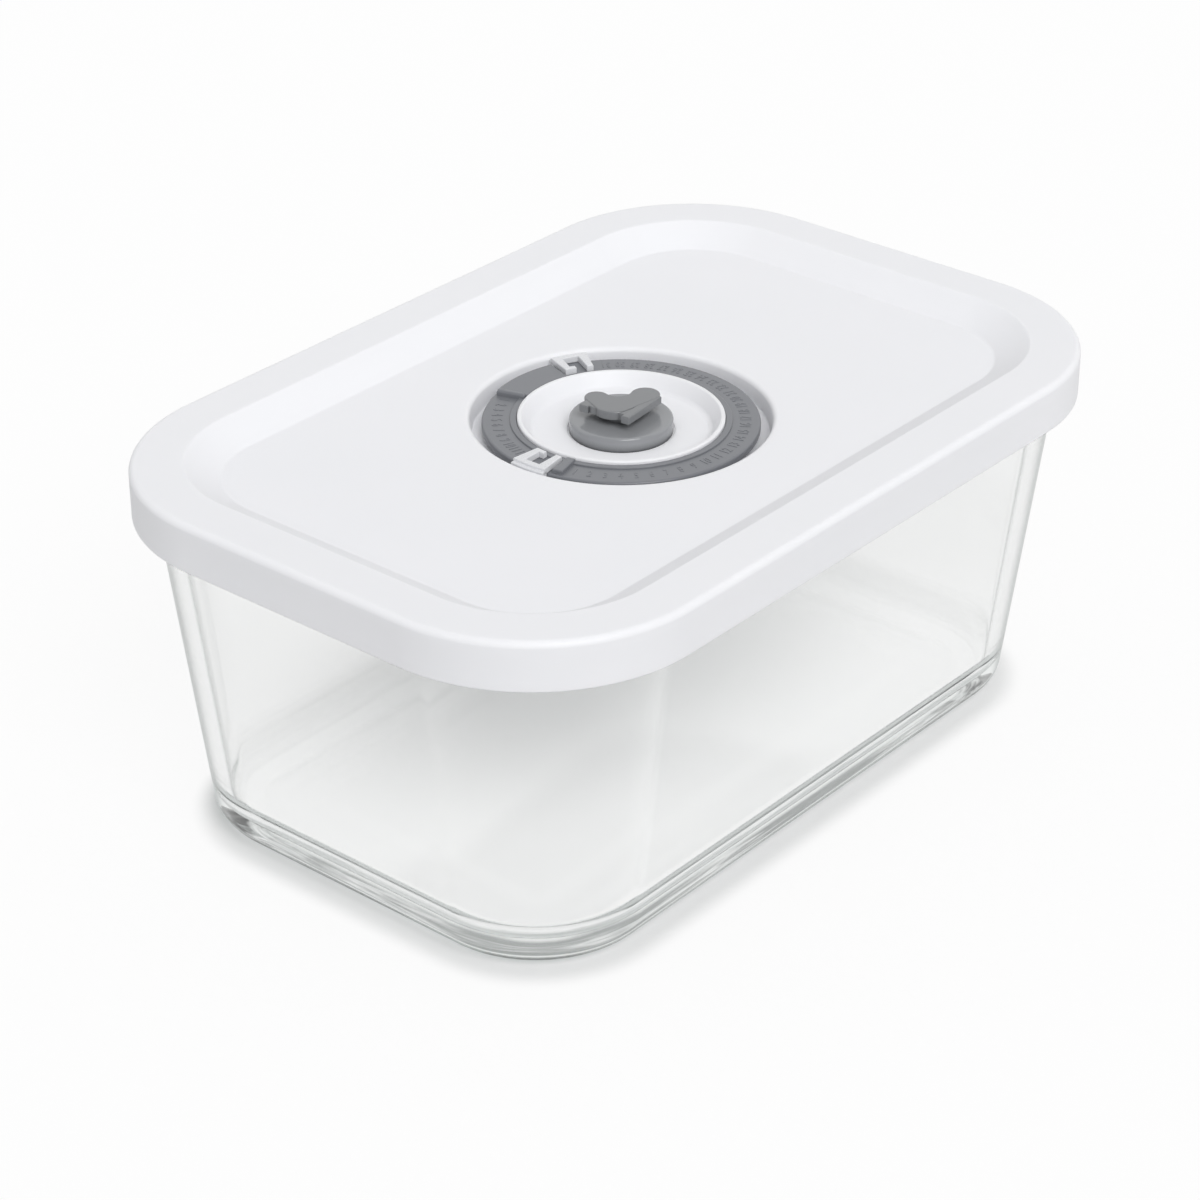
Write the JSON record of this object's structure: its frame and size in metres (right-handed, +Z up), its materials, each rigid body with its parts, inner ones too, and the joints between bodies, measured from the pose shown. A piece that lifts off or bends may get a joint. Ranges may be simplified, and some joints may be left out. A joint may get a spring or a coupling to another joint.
{
  "type": "vacuum food canister",
  "caption": "Tapered rectangular glass food box with a white dished lid; a lift valve, a pump cup and a date ring with sliding markers sit in a round well in the lid.",
  "frame": {"origin": "on the table plane, under the middle of the box", "axes": "+X along the long side, +Y across, +Z up out of the lid"},
  "size_m": [0.222, 0.15, 0.093],
  "materials": {
    "clear_glass": "clear pressed glass, fire polished",
    "lid_white": "fine matte moulded polypropylene",
    "gasket_silicone": "soft translucent white silicone",
    "ring_grey": "satin moulded plastic",
    "marker_white": "satin moulded plastic",
    "valve_silicone": "matte silicone",
    "tab_grey": "satin moulded plastic"
  },
  "bodies": {
    "box": {"glass_box": "clear_glass"},
    "lid": {"lid_shell": "lid_white", "lid_gasket": "gasket_silicone", "date_ring": "ring_grey"},
    "day_slider": {"day_marker": "marker_white"},
    "month_slider": {"month_marker": "marker_white"},
    "valve": {"valve_seal": "valve_silicone", "valve_tab": "tab_grey"}
  },
  "joints": [
    {"name": "lid_lift", "type": "slide", "parent": "box", "child": "lid", "axis": [0, 0, 1], "range_m": [0, 0.12]},
    {"name": "valve_lift", "type": "slide", "parent": "lid", "child": "valve", "axis": [0, 0, 1], "range_m": [0, 0.002]},
    {"name": "day_marker_turn", "type": "hinge", "parent": "lid", "child": "day_slider", "pos_m": [0, 0, 0.087], "axis": [0, 0, 1], "range_deg": [-217, 0]},
    {"name": "month_marker_turn", "type": "hinge", "parent": "lid", "child": "month_slider", "pos_m": [0, 0, 0.087], "axis": [0, 0, 1], "range_deg": [-64, 0]}
  ]
}
